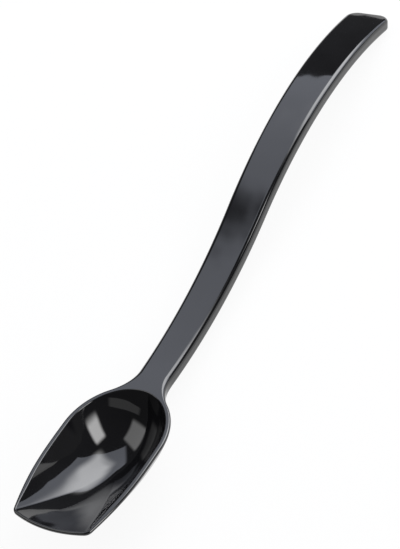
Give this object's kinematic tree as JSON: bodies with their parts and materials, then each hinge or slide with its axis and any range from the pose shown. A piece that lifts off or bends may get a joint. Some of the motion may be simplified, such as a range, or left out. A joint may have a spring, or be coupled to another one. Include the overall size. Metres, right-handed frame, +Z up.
{
  "type": "salad serving spoon",
  "caption": "Long salad serving spoon: a deep scoop bowl with a square front edge on a waved flat handle, moulded in glossy black plastic.",
  "frame": {"origin": "centre of the bounding box, on the table that the spoon lies on", "axes": "+X from the bowl's front edge to the handle's far end, +Y to the left of that, +Z up from the table"},
  "size_m": [0.254, 0.0358, 0.0215],
  "materials": {
    "black_plastic": "smooth gloss, as moulded"
  },
  "bodies": {
    "root": {"bowl": "black_plastic", "handle": "black_plastic"}
  },
  "joints": []
}
